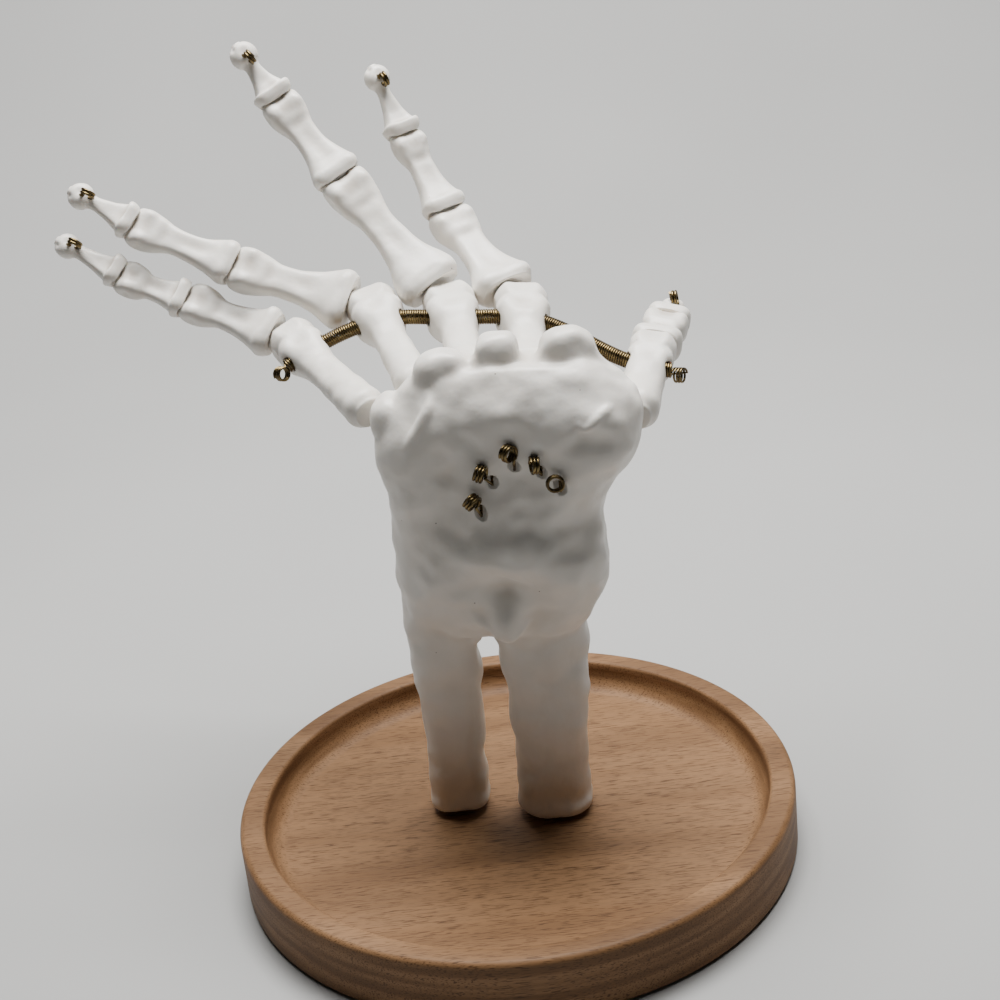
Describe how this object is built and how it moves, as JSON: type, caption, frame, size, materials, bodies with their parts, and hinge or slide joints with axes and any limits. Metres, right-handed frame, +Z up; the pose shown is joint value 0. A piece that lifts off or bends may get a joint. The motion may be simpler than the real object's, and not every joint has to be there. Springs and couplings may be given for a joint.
{
  "type": "jewelry holder",
  "caption": "Jointed skeleton hand on a round rimmed wooden tray, its bones strung on wire springs so that the fingers bend and stay put, for holding rings and bracelets.",
  "frame": {"origin": "centre of the tray's underside, on the surface that the holder stands on", "axes": "+Z up, the palm faces -Y, the thumb is at +X"},
  "size_m": [0.1461, 0.1347, 0.166],
  "materials": {
    "beech": "oiled fine-grained beech with short dark flecks",
    "bone_plastic": "warm off-white moulded plastic, satin gloss, greyish in the hollows",
    "spring_bronze": "antique bronze spring wire with bright worn highlights",
    "screw_steel": "plain zinc-plated steel"
  },
  "bodies": {
    "root": {"tray": "beech", "ulna_screw": "screw_steel", "radius_screw": "screw_steel", "wrist_and_forearm": "bone_plastic", "transverse_spring": "spring_bronze", "thumb_metacarpal": "bone_plastic", "thumb_spring_in_palm": "spring_bronze", "index_metacarpal": "bone_plastic", "index_spring_in_palm": "spring_bronze", "middle_metacarpal": "bone_plastic", "middle_spring_in_palm": "spring_bronze", "ring_metacarpal": "bone_plastic", "ring_spring_in_palm": "spring_bronze", "little_metacarpal": "bone_plastic", "little_spring_in_palm": "spring_bronze"},
    "thumb_proximal": {"thumb_proximal_phalanx": "bone_plastic", "thumb_proximal_spring": "spring_bronze"},
    "thumb_distal": {"thumb_distal_phalanx": "bone_plastic", "thumb_distal_spring": "spring_bronze"},
    "index_proximal": {"index_proximal_phalanx": "bone_plastic", "index_proximal_spring": "spring_bronze"},
    "index_middle": {"index_middle_phalanx": "bone_plastic", "index_middle_spring": "spring_bronze"},
    "index_distal": {"index_distal_phalanx": "bone_plastic", "index_distal_spring": "spring_bronze"},
    "middle_proximal": {"middle_proximal_phalanx": "bone_plastic", "middle_proximal_spring": "spring_bronze"},
    "middle_middle": {"middle_middle_phalanx": "bone_plastic", "middle_middle_spring": "spring_bronze"},
    "middle_distal": {"middle_distal_phalanx": "bone_plastic", "middle_distal_spring": "spring_bronze"},
    "ring_proximal": {"ring_proximal_phalanx": "bone_plastic", "ring_proximal_spring": "spring_bronze"},
    "ring_middle": {"ring_middle_phalanx": "bone_plastic", "ring_middle_spring": "spring_bronze"},
    "ring_distal": {"ring_distal_phalanx": "bone_plastic", "ring_distal_spring": "spring_bronze"},
    "little_proximal": {"little_proximal_phalanx": "bone_plastic", "little_proximal_spring": "spring_bronze"},
    "little_middle": {"little_middle_phalanx": "bone_plastic", "little_middle_spring": "spring_bronze"},
    "little_distal": {"little_distal_phalanx": "bone_plastic", "little_distal_spring": "spring_bronze"}
  },
  "joints": [
    {"name": "thumb_knuckle", "type": "hinge", "parent": "root", "child": "thumb_proximal", "pos_m": [0.03774, 0.01699, 0.10448], "axis": [0.9445, -0.2625, -0.1977], "range_deg": [-5, 78]},
    {"name": "thumb_end_joint", "type": "hinge", "parent": "thumb_proximal", "child": "thumb_distal", "pos_m": [0.04255, 0.03551, 0.10286], "axis": [0.9445, -0.2625, -0.1977], "range_deg": [-11, 59]},
    {"name": "index_knuckle", "type": "hinge", "parent": "root", "child": "index_proximal", "pos_m": [0.01227, 0.03179, 0.11225], "axis": [0.8864, 0.4478, 0.1174], "range_deg": [-33, 52]},
    {"name": "index_middle_joint", "type": "hinge", "parent": "index_proximal", "child": "index_middle", "pos_m": [0.00005, 0.05259, 0.12525], "axis": [0.8864, 0.4478, 0.1174], "range_deg": [-24, 61]},
    {"name": "index_end_joint", "type": "hinge", "parent": "index_middle", "child": "index_distal", "pos_m": [-0.00781, 0.06444, 0.14042], "axis": [0.8887, 0.4444, 0.1131], "range_deg": [-15, 55]},
    {"name": "middle_knuckle", "type": "hinge", "parent": "root", "child": "middle_proximal", "pos_m": [-0.0026, 0.03415, 0.11314], "axis": [0.8399, 0.4068, 0.3593], "range_deg": [-52, 33]},
    {"name": "middle_middle_joint", "type": "hinge", "parent": "middle_proximal", "child": "middle_middle", "pos_m": [-0.0214, 0.05375, 0.1349], "axis": [0.8399, 0.4068, 0.3593], "range_deg": [-11, 74]},
    {"name": "middle_end_joint", "type": "hinge", "parent": "middle_middle", "child": "middle_distal", "pos_m": [-0.03373, 0.06502, 0.151], "axis": [0.8402, 0.4065, 0.3588], "range_deg": [-14, 56]},
    {"name": "ring_knuckle", "type": "hinge", "parent": "root", "child": "ring_proximal", "pos_m": [-0.01876, 0.03766, 0.11307], "axis": [0.4226, 0.6396, 0.6421], "range_deg": [-58, 27]},
    {"name": "ring_middle_joint", "type": "hinge", "parent": "ring_proximal", "child": "ring_middle", "pos_m": [-0.04496, 0.0463, 0.1217], "axis": [0.4226, 0.6396, 0.6421], "range_deg": [-10, 75]},
    {"name": "ring_end_joint", "type": "hinge", "parent": "ring_middle", "child": "ring_distal", "pos_m": [-0.06629, 0.05297, 0.13123], "axis": [0.4728, 0.6251, 0.621], "range_deg": [-11, 59]},
    {"name": "little_knuckle", "type": "hinge", "parent": "root", "child": "little_proximal", "pos_m": [-0.03624, 0.03585, 0.10806], "axis": [0.5104, 0.6461, 0.5674], "range_deg": [-43, 42]},
    {"name": "little_middle_joint", "type": "hinge", "parent": "little_proximal", "child": "little_middle", "pos_m": [-0.05636, 0.045, 0.11574], "axis": [0.5104, 0.6461, 0.5674], "range_deg": [-12, 63]},
    {"name": "little_end_joint", "type": "hinge", "parent": "little_middle", "child": "little_distal", "pos_m": [-0.07053, 0.04914, 0.12166], "axis": [0.4444, 0.6677, 0.5972], "range_deg": [-12, 58]}
  ]
}
